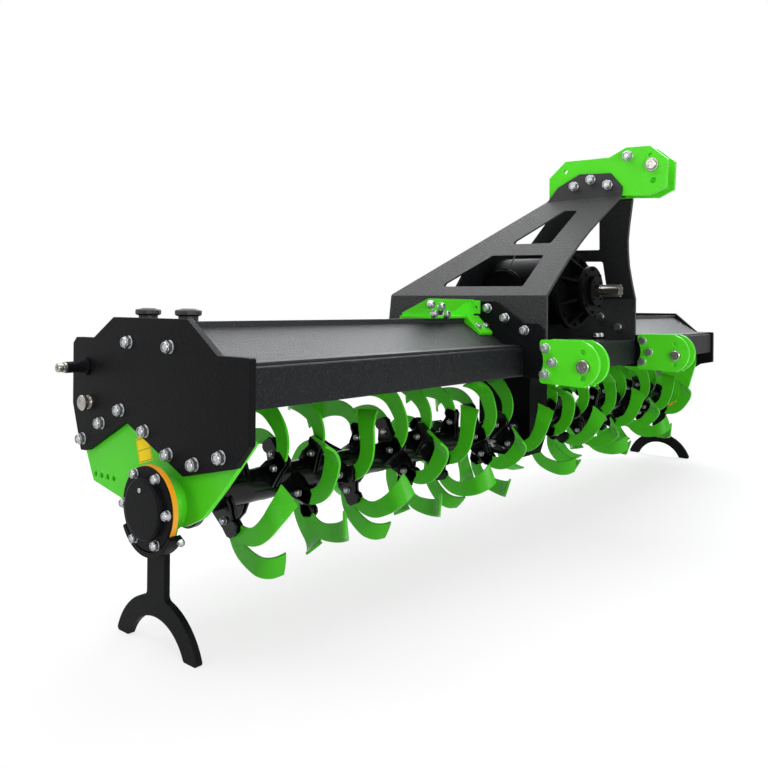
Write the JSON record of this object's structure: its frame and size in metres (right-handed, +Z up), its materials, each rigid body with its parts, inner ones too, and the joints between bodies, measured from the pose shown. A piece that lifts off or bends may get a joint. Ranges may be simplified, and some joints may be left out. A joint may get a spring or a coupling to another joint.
{
  "type": "rotavator",
  "caption": "Tractor-mounted rotary tiller: a wide hood and end plates over a bladed rotor, with a hitch headstock, a gearbox and two parking stands.",
  "frame": {"origin": "on the floor under the middle of the overall box; the floor is under the two parking stands", "axes": "+X across the machine towards its right end seen from behind the tractor, -Y forwards towards the tractor, +Z up"},
  "size_m": [3.44, 1.103, 1.42],
  "materials": {
    "frame_coat": "satin black powder coat with a fine orange-peel texture",
    "rotor_coat": "gloss black paint",
    "cast_coat": "satin black paint on castings",
    "green_coat": "gloss vivid green paint",
    "amber_seal": "glossy amber",
    "bare_steel": "machined steel with a light oil film",
    "zinc_plate": "bright zinc plate",
    "cap_plastic": "moulded black plastic"
  },
  "bodies": {
    "frame": {"bearing_housing_left": "cast_coat", "bearing_housing_right": "cast_coat", "bearing_plate_left": "green_coat", "bearing_plate_right": "green_coat", "bearing_ring_left": "amber_seal", "bearing_ring_right": "amber_seal", "centre_deck": "frame_coat", "coupling_bracket": "green_coat", "cross_plate": "frame_coat", "drive_case": "cast_coat", "end_plate_left": "frame_coat", "end_plate_right": "frame_coat", "filler_caps": "cap_plastic", "front_beam": "frame_coat", "gearbox_housing": "cast_coat", "gearbox_side_covers": "cast_coat", "headstock_plate_left": "frame_coat", "headstock_plate_right": "frame_coat", "hitch_plate_left": "frame_coat", "hitch_plate_right": "frame_coat", "hood_left": "frame_coat", "hood_right": "frame_coat", "input_bearing_housing": "cast_coat", "lower_link_pin_left": "zinc_plate", "lower_link_pin_right": "zinc_plate", "lower_link_plates_left": "green_coat", "lower_link_plates_right": "green_coat", "rear_beam": "frame_coat", "roller_pivots": "bare_steel", "side_pins": "zinc_plate", "stand_left": "frame_coat", "stand_right": "frame_coat", "top_link_block": "frame_coat", "top_link_pin": "zinc_plate", "top_link_plates": "green_coat"},
    "rotor": {"blade_holders_left": "rotor_coat", "blade_holders_right": "rotor_coat", "blades_left": "green_coat", "blades_right": "green_coat", "rotor_shaft": "rotor_coat", "rotor_tube_left": "rotor_coat", "rotor_tube_right": "rotor_coat"},
    "pto": {"pto_shaft": "bare_steel"}
  },
  "joints": [
    {"name": "rotor_spin", "type": "hinge", "parent": "frame", "child": "rotor", "pos_m": [0, 0.1015, 0.345], "axis": [1, 0, 0], "continuous": true},
    {"name": "pto_spin", "type": "hinge", "parent": "frame", "child": "pto", "pos_m": [0, -0.2985, 0.903], "axis": [0, 1, 0], "continuous": true}
  ],
  "couplings": [
    {"joint": "pto_spin", "follows": "rotor_spin", "ratio": 2}
  ]
}
